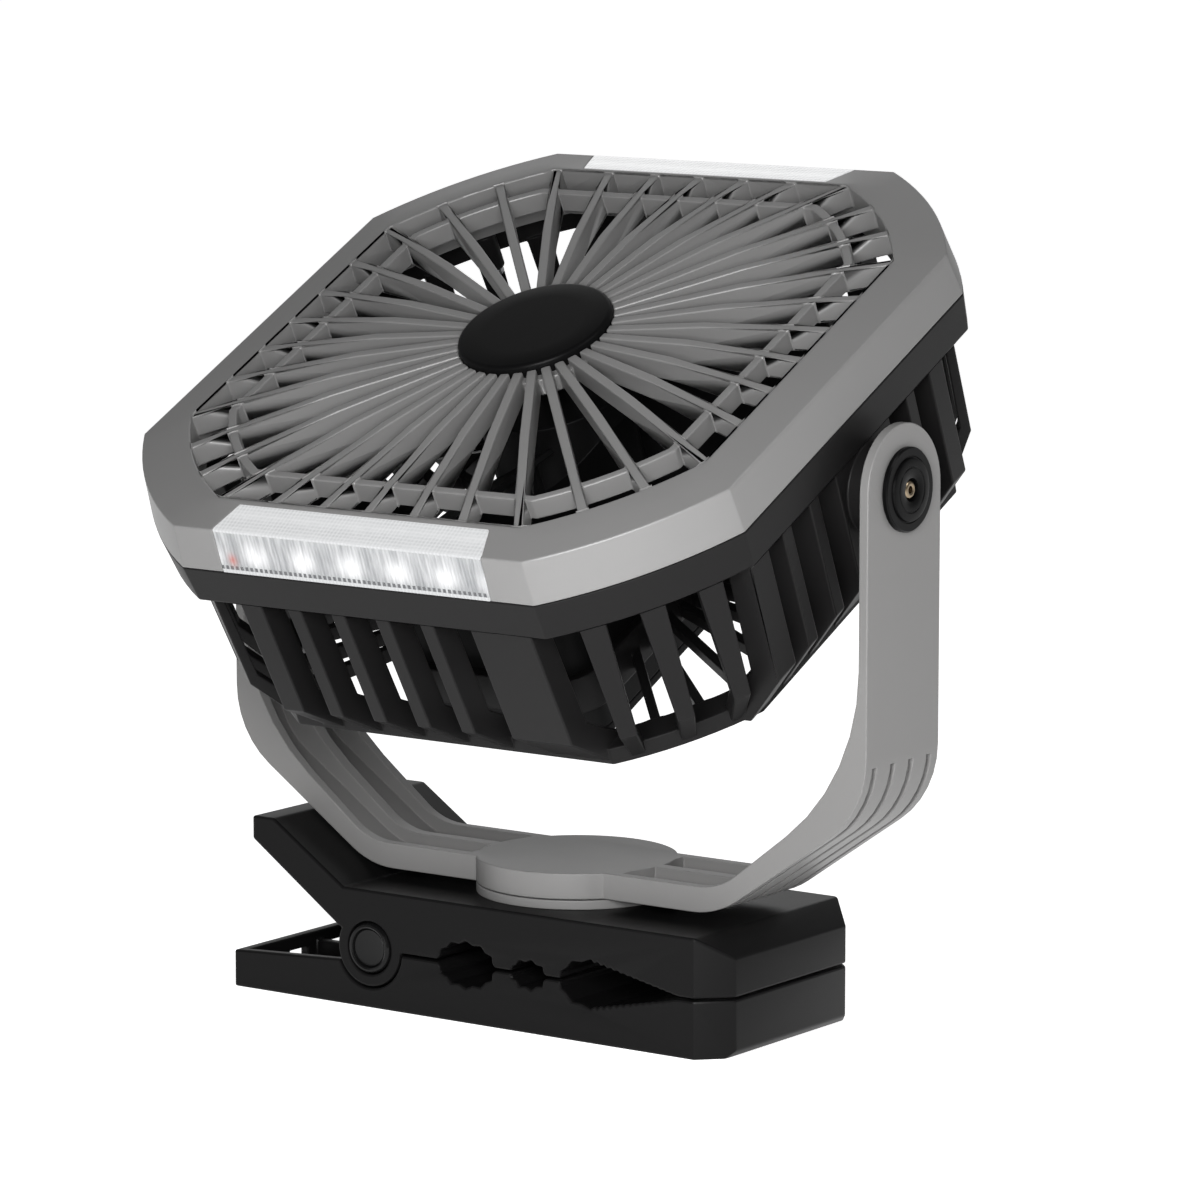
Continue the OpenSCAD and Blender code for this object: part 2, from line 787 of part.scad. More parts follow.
// Clear bent cover of the lower lamp bar, with closed ends
module lamp_lens() {
    fit = 2 * seat_gap;
    top_in = ridge_n + (head_half - rim_out) * rim_rise / (head_half - rim_out + slope_in);
    outside = [[rim_out + fit, wall_n + joint_gap], [wall_half, wall_n + joint_gap],
               [head_half, ridge_n], [rim_out + fit, top_in]];
    inside = [[rim_out - past, wall_n - past], [wall_half - lens_t, wall_n - past],
              [head_half - lens_t, ridge_n - lens_t], [rim_out - past, top_in - lens_t]];
    difference() {
        intersection() {
            along_lamp(outside);
            translate([0, 0, ridge_n]) lamp_plan(fit);
        }
        intersection() {
            along_lamp(inside);
            translate([0, 0, ridge_n]) lamp_plan(lens_t);
        }
    }
}

module lamp_lens_lower() {
    color("#eef2f6") in_head() lamp_lens();
}

module lamp_lens_upper() {
    color("#eef2f6") in_head() rotate(180) lamp_lens();
}

// Light-emitting board that stands on the rim of the opening, behind a lens
module led_board() {
    half = lamp_half - lamp_flare - lens_t - board_end;
    translate([-half, -rim_out - seat_gap - board_t, wall_n + board_foot])
        cube([2 * half, board_t, bezel_h - lens_t - 2 * board_foot]);
}

module led_board_lower() {
    color("#f4f4f0") in_head() led_board();
}

module led_board_upper() {
    color("#f4f4f0") in_head() rotate(180) led_board();
}

// Row of lamp chips on a board
module led_chips() {
    pitch = 2 * (lamp_half - lamp_flare - lens_t) / chip_count;
    for (i = [0:chip_count - 1])
        translate([pitch * (i - (chip_count - 1) / 2) - chip_w / 2,
                   -rim_out - seat_gap - board_t - chip_t, wall_n + bezel_h / 2 - chip_w / 2])
            cube([chip_w, chip_t, chip_w]);
}

module led_chips_lower() {
    color("#fff3b0") in_head() led_chips();
}

module led_chips_upper() {
    color("#fff3b0") in_head() rotate(180) led_chips();
}

// Black disc with a softly stepped edge that closes the middle of the grille
module hub_badge() {
    edge = 0.8;
    color("#1b1b1c") in_head() translate([0, 0, badge_seat])
        rotate_extrude() polygon([[0, 0], [badge_r, 0], [badge_r, badge_t - edge], [badge_r - edge, badge_t],
                                  [0, badge_t]]);
}

// One cage fin on the +X face: straight wall, bevel and rear foot, width w and depth t at place y,
// stepped in under the band where asked
module fin(y, w, t, top, low, rear, step_in = 0) {
    ledge = step_in > 0 ? [[top - fin_in - step_in, band_n - fin_ease]] : [];
    translate([0, y + w / 2, 0]) rotate([90, 0, 0]) linear_extrude(w)
        polygon(concat([[top - fin_in, band_n + past], [top - fin_in, band_n]], ledge,
                       [[low - step_in, -fin_depth], [rear - foot_in, foot_in - rear_depth],
                        [rear - t, foot_in - rear_depth], [rear - t, rear_bar_t - foot_in - rear_depth],
                        [low - step_in - t, -fin_depth + fin_ease], [top - step_in - t, band_n + past]]));
}

// One radial corner fin, narrower towards the rear ring
module corner_fin(step_in) {
    w = corner_fin_w / 2;
    foot = corner_foot_w / 2;
    top_n = band_n + 2 * past;
    intersection() {
        fin(0, 2 * w, corner_fin_t, arc_depth(band_reach, 2 * w), arc_depth(fin_reach, 2 * w),
            arc_depth(rear_reach, 2 * w), step_in);
        rotate([90, 0, 90]) linear_extrude(2 * head_reach)
            polygon([[-w, top_n], [-foot, -rear_depth], [foot, -rear_depth], [w, top_n]]);
    }
}

// Fins of one straight side, at the given places and widths
module side_fins(places, widths) {
    for (i = [0:len(places) - 1]) fin(places[i], widths[i], fin_t, band_half, fin_half, rear_half);
}

// Black cage: band, fins, rear ring and bars, screw posts and tilt trunnions
module rear_cage() {
    collar_n = -rear_depth - collar_proud;
    face_places = concat([for (i = [0:4]) face_first + face_pitch * i], [panel_at]);
    face_widths = [end_fin_w, fin_w, fin_w, fin_w, fin_w, panel_w];
    arm_places = concat([0], [for (i = [-2:0]) arm_pitch * i - arm_first],
                        [for (i = [0:1]) arm_pitch * i + arm_first]);
    arm_widths = [pad_w, first_fin_w, fin_w, fin_w, fin_w, end_fin_w];
    color("#29292a") in_head() difference() {
        union() {
            difference() {
                tapered(band_half, band_reach, wall_half, band_n, wall_n);
                inset_block(band_half, band_reach, skin, band_n - past, wall_n + past);
            }
            for (a = [-90, 90]) rotate(a) side_fins(face_places, face_widths);
            for (a = [0, 180]) rotate(a) side_fins(arm_places, arm_widths);
            for (a = [45:90:315]) rotate(a) {
                for (i = [-1:1]) rotate(corner_step * i) corner_fin(a % 180 == 45 ? corner_in : 0);
                screw_post(band_n, wall_n);
            }
            difference() {
                block(rear_half, rear_reach, -rear_depth, rear_bar_t - rear_depth);
                inset_block(rear_half, rear_reach, rear_ring_t, -rear_depth - past,
                            rear_bar_t - rear_depth + past);
            }
            for (side = [0, 180]) for (i = [-bar_count:bar_count])
                let (a = bar_step * i,
                     start = (pod_half + 2 * collar_t / 3) / cos(a),
                     end = plan_reach(rear_half, rear_reach, a) - rear_ring_t / 2)
                rotate(side + a) translate([start, -rear_bar_w / 2, bar_in - rear_depth])
                    cube([end - start, rear_bar_w, rear_bar_t - 2 * bar_in]);
            pod_block(-collar_t, collar_n, 2 * rear_bar_t - rear_depth);
            for (side = [-1, 1]) {
                about_tilt(boss_r, side > 0 ? fin_half - boss_root : -boss_x,
                           side > 0 ? boss_x : boss_root - fin_half);
                about_tilt(trunnion_r, side > 0 ? fin_half : -yoke_half - body_gap,
                           side > 0 ? yoke_half + body_gap : -fin_half);
            }
        }
        pod_block(-seat_gap, collar_n - past, 2 * rear_bar_t - rear_depth + past);
        for (a = [45:90:315]) rotate(a) translate([screw_reach, 0, band_n - past])
            cylinder(r = screw_r, h = band_h + 2 * past);
        about_tilt(screw_r, fin_half - bore_root, yoke_half + past);
        about_tilt(screw_r, -yoke_half - past, bore_root - fin_half);
    }
}

// Screws from the cage into the bezel corners
module grille_screws() {
    color("#85888c") in_head() for (a = [45:90:315]) rotate(a) translate([screw_reach, 0, band_n]) {
        translate([0, 0, -screw_head_h]) cylinder(r = screw_head_r, h = screw_head_h);
        cylinder(r = screw_r - seat_gap, h = band_h + bezel_h - 2 * skin);
    }
}

// Black cap on the end of a trunnion, with a recess for its screw
module pivot_cap(side) {
    x0 = yoke_half + body_gap;
    color("#1d1d1e") in_head() difference() {
        union() {
            about_tilt(cap_r, side > 0 ? x0 : -x0 - cap_t + cap_step, side > 0 ? x0 + cap_t - cap_step : -x0);
            about_tilt(cap_r - cap_rim, side > 0 ? x0 : -x0 - cap_t, side > 0 ? x0 + cap_t : -x0);
        }
        about_tilt(screw_r + seat_gap, -x0 - cap_t - past, x0 + cap_t + past);
        about_tilt(cap_bore_r, side > 0 ? x0 + cap_step : -x0 - cap_t - past,
                   side > 0 ? x0 + cap_t + past : -x0 - cap_step);
    }
}

module pivot_cap_left() {
    pivot_cap(-1);
}

module pivot_cap_right() {
    pivot_cap(1);
}

// Brass screws that hold the pivot caps on the trunnions
module pivot_screws() {
    x0 = yoke_half + body_gap + cap_step;
    x1 = x0 + pivot_head_h;
    color("#b8925a") in_head() for (side = [-1, 1]) {
        about_tilt(pivot_head_r, side > 0 ? x0 : -x1, side > 0 ? x1 : -x0);
        about_tilt(screw_r - seat_gap, side > 0 ? fin_half : -x1, side > 0 ? x1 : -fin_half);
    }
}

// Rounded block of the pod's plan, less an even wall t, from level n0 to n1
module pod_block(t, n0, n1) {
    w = pod_half - t;
    l = pod_long - t;
    r = pod_round - t;
    translate([0, 0, n0]) linear_extrude(n1 - n0)
        polygon(rounded([[w, l], [-w, l], [-w, -l], [w, -l]], [r, r, r, r]));
}

// Places of the four posts that hold board and cover
module at_posts() {
    for (x = [-post_p, post_p]) for (y = [-post_q, post_q]) translate([x, y, 0]) children();
}

// Black box behind the impeller for battery and board, with posts for the cover
module rear_pod() {
    color("#2b2b2c") in_head() difference() {
        union() {
            difference() {
                pod_block(0, -pod_depth, pod_front);
                pod_block(pod_wall, -pod_depth - past, pod_front - pod_wall);
            }
            at_posts() translate([0, 0, board_n]) cylinder(r = post_r, h = pod_front - board_n - past);
        }
        at_posts() translate([0, 0, board_n - past]) cylinder(r = screw_r, h = post_bore);
        translate([0, 0, -pod_depth]) cylinder(r = tube_r + seat_gap, h = pod_depth);
    }
}

// Rear cover of the pod with holes for the buttons and the charging port
module pod_cover() {
    color("#262627") in_head() difference() {
        union() {
            pod_block(0, cover_n - cover_t, cover_n);
            at_posts() translate([0, 0, cover_n - past])
                cylinder(r = post_r, h = board_n - pcb_t - cover_n + past);
        }
        for (side = [-1, 1]) translate([side * button_p, button_q, cover_n - cover_t - past])
            cylinder(r = button_r + run_gap, h = cover_t + 2 * past);
        translate([-port_w / 2 - port_fit, port_q - port_t / 2 - port_fit, cover_n - cover_t - past])
            cube([port_w + 2 * port_fit, port_t + 2 * port_fit, cover_t + 2 * past]);
        at_posts() translate([0, 0, cover_n - cover_t - past])
            cylinder(r = screw_r, h = board_n - cover_n + cover_t + 2 * past);
    }
}

// Screws through cover and board into the pod
module pod_screws() {
    color("#85888c") in_head() at_posts() {
        translate([0, 0, cover_n - cover_t - pod_head_h]) {
            cylinder(r = screw_head_r, h = pod_head_h);
            cylinder(r = screw_r - seat_gap, h = pod_head_h + cover_t + board_n - cover_n + pod_screw_hold);
        }
    }
}

// Circuit board clamped between the posts
module circuit_board() {
    color("#1f6b3f") in_head() difference() {
        pod_block(pod_wall + body_gap, board_n - pcb_t, board_n);
        at_posts() translate([0, 0, board_n - pcb_t - past]) cylinder(r = screw_r, h = pcb_t + 2 * past);
    }
}

// Cylinders along Y at the two battery places
module at_cells(r, len) {
    for (side = [-1, 1])
        translate([side * cell_p, -len / 2, cell_n]) rotate([-90, 0, 0]) cylinder(r = r, h = len);
}

// Two rechargeable cells
module battery_cells() {
    color("#3f7fae") in_head() at_cells(cell_r, cell_len);
}

// Cradle that holds the cells off the board
module battery_tray() {
    color("#3a3a3c") in_head() difference() {
        translate([-2 * cell_p, -cell_len / 2, board_n]) cube([4 * cell_p, cell_len, tray_h]);
        at_cells(cell_r + seat_gap, cell_len + 2 * past);
    }
}

// Small switches under the buttons
module tact_switches() {
    color("#c9c9c6") in_head() for (side = [-1, 1])
        translate([side * button_p - switch_w / 2, button_q - switch_w / 2, board_n - pcb_t - switch_h])
            cube([switch_w, switch_w, switch_h]);
}

// Charging socket that stands between board and cover
module usb_socket() {
    length = board_n - pcb_t - cover_n - body_gap;
    color("#b9bcc0") in_head() difference() {
        translate([-port_w / 2, port_q - port_t / 2, cover_n + body_gap]) cube([port_w, port_t, length]);
        translate([-port_w / 2 + socket_wall, port_q - port_t / 2 + socket_wall, cover_n + body_gap - past])
            cube([port_w - 2 * socket_wall, port_t - 2 * socket_wall, length - socket_back]);
    }
}

// Rubber plug that covers the charging port
module port_plug() {
    color("#303031") in_head() {
        translate([-port_w / 2 - plug_lip, port_q - port_t / 2 - plug_lip, cover_n - cover_t - plug_t])
            cube([port_w + 2 * plug_lip, port_t + 2 * plug_lip, plug_t]);
        translate([-port_w / 2, port_q - port_t / 2, cover_n - cover_t - port_fit])
            cube([port_w, port_t, cover_t]);
    }
}

// Brass tube in the front of the pod that carries bearings and stator
module bearing_tube() {
    length = cup_n1 - cup_t - pod_front - body_gap + pod_wall - tube_short;
    color("#b59a5b") in_head() translate([0, 0, pod_front - pod_wall]) difference() {
        cylinder(r = tube_r, h = length);
        translate([0, 0, -past]) cylinder(r = bearing_r + seat_gap / 2, h = length + 2 * past);
    }
}

// Two small ball bearings, drawn as rings
module motor_bearings() {
    top = cup_n1 - cup_t - body_gap - tube_short;
    color("#c7cacd") in_head() for (n = [pod_front - pod_wall, top - bearing_h])
        translate([0, 0, n]) difference() {
            cylinder(r = bearing_r, h = bearing_h);
            translate([0, 0, -past]) cylinder(r = shaft_r + run_gap / 2, h = bearing_h + 2 * past);
        }
}

// Laminated stator with its pole gaps
module motor_stator() {
    color("#8a6a48") in_head() translate([0, 0, cup_n0 + stator_lift]) difference() {
        cylinder(r = stator_r, h = stator_h);
        translate([0, 0, -past]) cylinder(r = tube_r + seat_gap, h = stator_h + 2 * past);
        for (i = [0:pole_count - 1]) rotate(360 * i / pole_count)
            translate([tube_r + pole_root, -pole_gap / 2, -past])
                cube([stator_r, pole_gap, stator_h + 2 * past]);
    }
}

// Steel shaft that turns in the bearings
module motor_shaft() {
    color("#b5b8bc") in_head() translate([0, 0, pod_front - pod_wall])
        cylinder(r = shaft_r, h = shaft_top - pod_front + pod_wall);
}

// Steel cup with the magnets, around the stator
module rotor_cup() {
    color("#7b7e82") in_head() difference() {
        translate([0, 0, cup_n0]) cylinder(r = cup_r, h = cup_n1 - cup_n0);
        translate([0, 0, cup_n0 - past]) cylinder(r = cup_r - 2 * cup_t, h = cup_n1 - cup_n0 - cup_t + past);
        translate([0, 0, cup_n0]) cylinder(r = shaft_r + seat_gap / 2, h = cup_n1 - cup_n0 + past);
    }
}

// Black impeller: hub cup and pitched blades
module impeller() {
    color("#2a2a2c") in_head() {
        difference() {
            translate([0, 0, hub_n0]) cylinder(r = hub_r, h = hub_n1 - hub_n0);
            translate([0, 0, hub_n0 - past]) cylinder(r = cup_r + seat_gap, h = cup_n1 - hub_n0 + past);
            translate([0, 0, hub_n0]) cylinder(r = shaft_r + seat_gap / 2, h = hub_n1 - hub_n0 + past);
        }
        intersection() {
            difference() {
                translate([0, 0, hub_n0]) cylinder(r = blade_tip_r, h = hub_n1 - hub_n0);
                translate([0, 0, hub_n0 - past])
                    cylinder(r = hub_r - blade_root, h = hub_n1 - hub_n0 + 2 * past);
            }
            for (i = [0:blade_count - 1]) rotate(360 * i / blade_count)
                translate([hub_r - blade_in, 0, (hub_n0 + hub_n1) / 2]) rotate([blade_pitch, 0, 0])
                    translate([0, -blade_chord / 2, -blade_t / 2]) cube([blade_tip_r, blade_chord, blade_t]);
        }
    }
}

// Nut that holds the impeller on its shaft
module spinner_nut() {
    color("#2f2f31") in_head() translate([0, 0, hub_n1]) difference() {
        cylinder(r = nut_r, h = shaft_top - hub_n1 + nut_roof);
        translate([0, 0, -past]) cylinder(r = shaft_r + seat_gap / 2, h = shaft_top - hub_n1 + past);
    }
}

// Push button: cap, flange behind the cover and stem over its switch
module push_button(side) {
    rest = board_n - pcb_t - switch_h - button_travel - body_gap;
    in_head() translate([side * button_p, button_q, 0]) {
        translate([0, 0, cover_n - cover_t - proud])
            cylinder(r = button_r, h = cover_t + proud + body_gap + past);
        translate([0, 0, cover_n + body_gap]) cylinder(r = flange_r, h = flange_t);
        translate([0, 0, cover_n + body_gap]) cylinder(r = stem_r, h = rest - cover_n - body_gap);
    }
}

module fan_button() {
    color("#6a6a6b") push_button(-1);
}

module light_button() {
    color("#8d8d8c") push_button(1);
}

lower_jaw();
clip_pin();
clip_spring();
upper_jaw();
turntable_ring();
swivel_washer();
yoke();
swivel_bolt();
swivel_insert();
tilt_washers();
front_grille();
hub_badge();
lamp_lens_lower();
lamp_lens_upper();
led_board_lower();
led_board_upper();
led_chips_lower();
led_chips_upper();
rear_cage();
grille_screws();
pivot_cap_left();
pivot_cap_right();
pivot_screws();
rear_pod();
pod_cover();
pod_screws();
circuit_board();
battery_cells();
battery_tray();
tact_switches();
usb_socket();
port_plug();
bearing_tube();
motor_bearings();
motor_stator();
motor_shaft();
rotor_cup();
impeller();
spinner_nut();
fan_button();
light_button();
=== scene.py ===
import math
import bpy
import bmesh
from mathutils import Matrix, Vector


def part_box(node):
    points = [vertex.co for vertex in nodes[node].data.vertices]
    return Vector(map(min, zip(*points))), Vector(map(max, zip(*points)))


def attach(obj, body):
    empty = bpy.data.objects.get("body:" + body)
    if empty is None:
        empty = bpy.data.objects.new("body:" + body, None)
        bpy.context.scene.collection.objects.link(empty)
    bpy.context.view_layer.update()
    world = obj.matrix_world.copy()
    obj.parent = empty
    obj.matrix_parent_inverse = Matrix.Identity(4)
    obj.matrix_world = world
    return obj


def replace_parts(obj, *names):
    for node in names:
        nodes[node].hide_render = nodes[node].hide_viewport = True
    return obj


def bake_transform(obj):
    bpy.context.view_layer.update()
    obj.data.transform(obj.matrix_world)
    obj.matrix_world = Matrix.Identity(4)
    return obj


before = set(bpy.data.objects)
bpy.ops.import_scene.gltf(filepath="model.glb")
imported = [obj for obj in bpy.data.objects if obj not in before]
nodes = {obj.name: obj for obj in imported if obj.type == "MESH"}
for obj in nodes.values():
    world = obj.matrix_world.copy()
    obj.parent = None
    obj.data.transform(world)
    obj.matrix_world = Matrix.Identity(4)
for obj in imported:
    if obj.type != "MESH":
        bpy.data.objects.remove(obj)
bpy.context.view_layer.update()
scene = bpy.context.scene

# Camera: a long lens a little above the fan head, to the right of its front,
# as far off as the photograph's mild perspective asks.
camera_data = bpy.data.cameras.new("camera")
camera_data.sensor_width = 36
camera_data.lens = 174.4
camera = bpy.data.objects.new("camera", camera_data)
scene.collection.objects.link(camera)
camera.location = (0.9056, -1.2493, 0.3483)
aim = Vector((0.0059, 0.0024, 0.1119))
camera.rotation_mode = "QUATERNION"
camera.rotation_quaternion = (aim - camera.location).to_track_quat("-Z", "Y")
camera_data.dof.use_dof = False
scene.camera = camera
scene.view_settings.view_transform = "Standard"

# Studio: a wide pale floor, a white surround, a soft box near the front, a little above
# the head, and weaker ones at the right, the left and the rear, all plain white.
floor_bm = bmesh.new()
bmesh.ops.create_grid(floor_bm, x_segments=1, y_segments=1, size=30)
floor_mesh = bpy.data.meshes.new("floor")
floor_bm.to_mesh(floor_mesh)
floor_bm.free()
floor = bpy.data.objects.new("floor", floor_mesh)
scene.collection.objects.link(floor)
floor_paint = bpy.data.materials.new("floor_paint")
floor_paint.use_nodes = True
floor_shader = floor_paint.node_tree.nodes["Principled BSDF"]
floor_shader.inputs["Base Color"].default_value = (0.93, 0.93, 0.93, 1)
floor_shader.inputs["Roughness"].default_value = 0.85
floor_shader.inputs["Specular IOR Level"].default_value = 0.1
floor_shader.inputs["Emission Color"].default_value = (1, 1, 1, 1)
floor_shader.inputs["Emission Strength"].default_value = 0.74
floor_mesh.materials.append(floor_paint)

surround = bpy.data.worlds.new("surround")
surround.use_nodes = True
surround_light = surround.node_tree.nodes["Background"]
surround_light.inputs["Color"].default_value = (1, 1, 1, 1)
surround_light.inputs["Strength"].default_value = 0.3
scene.world = surround
fan_middle = Vector((0, 0, 0.12))


def soft_box(name, place, size, power):
    """A square studio lamp that faces the fan."""
    lamp_data = bpy.data.lights.new(name, "AREA")
    lamp_data.shape = "SQUARE"
    lamp_data.size = size
    lamp_data.energy = power
    lamp = bpy.data.objects.new(name, lamp_data)
    scene.collection.objects.link(lamp)
    lamp.location = place
    lamp.visible_camera = False
    lamp.rotation_mode = "QUATERNION"
    lamp.rotation_quaternion = (fan_middle - Vector(place)).to_track_quat("-Z", "Y")


soft_box("key_box", (0.33, -0.52, 0.27), 0.28, 6.2)
soft_box("right_box", (0.42, 0.02, 0.46), 0.2, 0.5)
soft_box("left_box", (-0.9, -0.5, 0.5), 0.4, 0.3)
soft_box("rear_box", (-0.5, 0.8, 0.55), 0.6, 1.2)


# Lower clip half: a black nylon moulding with toothed grip holes and an open handle
# channel. It stands on its flat underside and carries the hinge pin in two ears.
def satin_group():
    """Fine moulded grain, slow shade changes and uneven gloss, in the piece's own place."""
    group = bpy.data.node_groups.new("satin_surface", "ShaderNodeTree")
    face = group.interface
    face.new_socket("Colour", in_out="INPUT", socket_type="NodeSocketColor")
    for label, value in (("Roughness", 0.45), ("Gloss change", 0.08), ("Shade change", 0.1),
                         ("Grain scale", 2200.0)):
        face.new_socket(label, in_out="INPUT", socket_type="NodeSocketFloat").default_value = value
    face.new_socket("Colour", in_out="OUTPUT", socket_type="NodeSocketColor")
    face.new_socket("Roughness", in_out="OUTPUT", socket_type="NodeSocketFloat")
    face.new_socket("Height", in_out="OUTPUT", socket_type="NodeSocketFloat")
    grain_share = 0.6
    made, link = group.nodes, group.links
    start, end = made.new("NodeGroupInput"), made.new("NodeGroupOutput")
    place = made.new("ShaderNodeTexCoord")
    grain = made.new("ShaderNodeTexNoise")
    grain.inputs["Detail"].default_value = 3
    slow = made.new("ShaderNodeTexNoise")
    slow.inputs["Scale"].default_value = 34
    slow.inputs["Detail"].default_value = 4
    link.new(place.outputs["Object"], grain.inputs["Vector"])
    link.new(place.outputs["Object"], slow.inputs["Vector"])
    link.new(start.outputs["Grain scale"], grain.inputs["Scale"])
    both = made.new("ShaderNodeMath")
    both.operation = "MULTIPLY_ADD"
    both.inputs[1].default_value = grain_share
    link.new(grain.outputs["Fac"], both.inputs[0])
    link.new(slow.outputs["Fac"], both.inputs[2])
    centred = made.new("ShaderNodeMath")
    centred.operation = "SUBTRACT"
    centred.inputs[1].default_value = 0.5 * grain_share + 0.5
    link.new(both.outputs[0], centred.inputs[0])
    shade = made.new("ShaderNodeMath")
    shade.operation = "MULTIPLY_ADD"
    shade.inputs[2].default_value = 1.0
    link.new(centred.outputs[0], shade.inputs[0])
    link.new(start.outputs["Shade change"], shade.inputs[1])
    tint = made.new("ShaderNodeVectorMath")
    tint.operation = "SCALE"
    link.new(start.outputs["Colour"], tint.inputs[0])
    link.new(shade.outputs[0], tint.inputs["Scale"])
    gloss = made.new("ShaderNodeMath")
    gloss.operation = "MULTIPLY_ADD"
    link.new(centred.outputs[0], gloss.inputs[0])
    link.new(start.outputs["Gloss change"], gloss.inputs[1])
    link.new(start.outputs["Roughness"], gloss.inputs[2])
    link.new(tint.outputs[0], end.inputs["Colour"])
    link.new(gloss.outputs[0], end.inputs["Roughness"])
    link.new(grain.outputs["Fac"], end.inputs["Height"])
    return group


satin_surface = satin_group()


def satin(name, colour, roughness, grain=2200.0, depth=0.00002, shade=0.1, metal=0.0, specular=0.5):
    """A moulded or rolled finish: the shared surface on one shader, with its own values."""
    finish = bpy.data.materials.new(name)
    finish.use_nodes = True
    made, link = finish.node_tree.nodes, finish.node_tree.links
    shader = made["Principled BSDF"]
    surface = made.new("ShaderNodeGroup")
    surface.node_tree = satin_surface
    surface.inputs["Colour"].default_value = (*colour, 1)
    surface.inputs["Roughness"].default_value = roughness
    surface.inputs["Shade change"].default_value = shade
    surface.inputs["Grain scale"].default_value = grain
    bump = made.new("ShaderNodeBump")
    bump.inputs["Strength"].default_value = 0.35
    bump.inputs["Distance"].default_value = depth
    link.new(surface.outputs["Colour"], shader.inputs["Base Color"])
    link.new(surface.outputs["Roughness"], shader.inputs["Roughness"])
    link.new(surface.outputs["Height"], bump.inputs["Height"])
    link.new(bump.outputs["Normal"], shader.inputs["Normal"])
    shader.inputs["Metallic"].default_value = metal
    shader.inputs["Specular IOR Level"].default_value = specular
    return finish


def dress(node, finish):
    """Gives a CAD node its finish."""
    nodes[node].data.materials.clear()
    nodes[node].data.materials.append(finish)


def place_piece(name, bm, finish, body):
    """Turns a finished bmesh into a piece on its body, with even shading."""
    mesh = bpy.data.meshes.new(name)
    bm.to_mesh(mesh)
    bm.free()
    mesh.materials.append(finish)
    piece = bpy.data.objects.new(name, mesh)
    scene.collection.objects.link(piece)
    mesh.shade_smooth()
    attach(piece, body)
    return piece


def moulded(node, name, finish, body, edge):
    """The node's own shape with the small rounded edges that its mould leaves."""
    weld, least_bend, crisp_bend = 0.000002, math.radians(28), math.radians(16)
    bm = bmesh.new()
    bm.from_mesh(nodes[node].data)
    bmesh.ops.remove_doubles(bm, verts=bm.verts, dist=weld)
    bmesh.ops.recalc_face_normals(bm, faces=bm.faces)
    sharp = [rim for rim in bm.edges if rim.is_manifold and rim.calc_face_angle() > least_bend]
    bmesh.ops.bevel(bm, geom=sharp, offset=edge, offset_type="OFFSET", segments=2, profile=0.5,
                    affect="EDGES", material=-1, clamp_overlap=False)
    piece = place_piece(name, bm, finish, body)
    piece.data.set_sharp_from_angle(angle=crisp_bend)
    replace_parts(piece, node)


clip_black = satin("clip_black", (0.003, 0.0029, 0.003), 0.4, specular=0.09)
moulded("lower_jaw", "lower_clip_half", clip_black, "lower_clip", 0.0006)


# Hinge pin: a steel pin with black dished heads let into the outer ears,
# each with a raised glossy rim.
def turned(profile, centre, axis, steps=72):
    """A lathe shape from (radius, place along the axis) points, in metres."""
    weld = 0.000005
    centre, axis = Vector(centre), Vector(axis).normalized()
    side = axis.orthogonal().normalized()
    bm = bmesh.new()
    line = [bm.verts.new(centre + axis * along + side * radius) for radius, along in profile]
    for first, second in zip(line, line[1:]):
        bm.edges.new((first, second))
    bmesh.ops.spin(bm, geom=bm.verts[:] + bm.edges[:], cent=centre, axis=axis, angle=math.tau,
                   steps=steps, use_merge=True)
    bmesh.ops.remove_doubles(bm, verts=bm.verts, dist=weld)
    bmesh.ops.recalc_face_normals(bm, faces=bm.faces)
    return bm


def flat_steps(piece, angle=35):
    """Keeps the steps of a turned piece crisp."""
    piece.data.set_sharp_from_angle(angle=math.radians(angle))
    return piece


pin_black = satin("pin_black", (0.003, 0.003, 0.0031), 0.22, specular=0.16)
pin_place = Vector((-0.045, 0, 0.0165))
pin_r, pin_end = 0.003, 0.0337
head_r, head_foot = 0.007, 0.0318
head_rise = [(head_r, -0.0005), (0.0069, 0.0001), (0.0064, 0.0007), (0.0059, 0.0008), (0.0055, 0.0006),
             (0.0052, -0.0002), (0.0049, 0.0001), (0.0044, 0.0), (0.0, 0.0)]
pin_far_half = [(pin_r, 0.0317), (head_r, head_foot)]
pin_far_half += [(radius, pin_end + rise) for radius, rise in head_rise]
pin_profile = [(radius, -along) for radius, along in reversed(pin_far_half)] + pin_far_half
clip_axle = place_piece("clip_axle", turned(pin_profile, pin_place, (0, 1, 0)), pin_black,
                        "lower_clip")
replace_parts(flat_steps(clip_axle), "clip_pin")

# Torsion spring: one steel wire wound about the pin, with a leg to each handle.
# It sits loose on the pin between the inner ears.
spring_steel = satin("spring_steel", (0.42, 0.43, 0.45), 0.28, grain=900.0, metal=1.0)
wire_r, coil_r, coil_rise, leg = 0.001, 0.0064, 0.0027, 0.027
coil_turns, coil_steps = 5, 170
first_turn = -79.0
last_turn = 59.0 + 360.0 * coil_turns


def coil_point(degrees):
    """A point of the coil, whose middle turn lies at the middle of the clip."""
    turn = math.radians(degrees)
    along = coil_rise * ((degrees - first_turn) / 360 - coil_turns / 2)
    return pin_place + Vector((coil_r * math.cos(turn), along, coil_r * math.sin(turn)))


def coil_way(degrees):
    """The direction of the wire there."""
    turn = math.radians(degrees)
    return Vector((-math.sin(turn), coil_rise / (math.tau * coil_r), math.cos(turn))).normalized()


